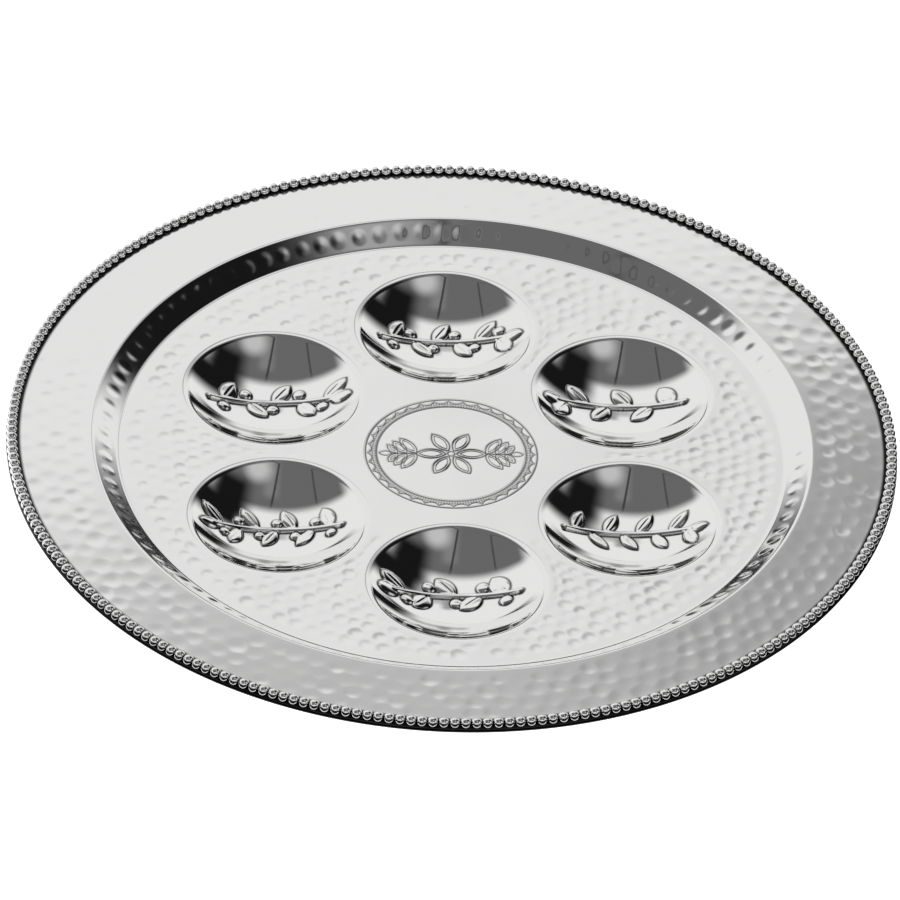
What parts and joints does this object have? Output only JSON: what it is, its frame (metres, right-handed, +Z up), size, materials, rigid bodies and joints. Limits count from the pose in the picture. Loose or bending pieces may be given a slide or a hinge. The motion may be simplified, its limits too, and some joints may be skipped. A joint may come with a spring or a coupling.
{
  "type": "seder plate",
  "caption": "Round hammered metal plate with a sunken well, a ring of dished bowls with raised sprigs, an engraved middle and a beaded edge.",
  "frame": {"origin": "under the plate's centre, on the surface that the bowls stand on", "axes": "+Z up out of the plate, +Y towards the plate's back, +X towards its right, as seen from the front"},
  "size_m": [0.3998, 0.3998, 0.025],
  "materials": {
    "hammered_sheet": "polished silver-coloured metal with rings of small hammer marks",
    "mirror_bowl": "mirror-polished silver-coloured metal",
    "beading": "polished silver-coloured metal, darker between the beads",
    "wire": "plain drawn steel wire"
  },
  "bodies": {
    "root": {"tray": "hammered_sheet", "bowl_back": "mirror_bowl", "bowl_back_right": "mirror_bowl", "bowl_front_right": "mirror_bowl", "bowl_front": "mirror_bowl", "bowl_front_left": "mirror_bowl", "bowl_back_left": "mirror_bowl", "beaded_border": "beading", "rim_wire": "wire"}
  },
  "joints": []
}
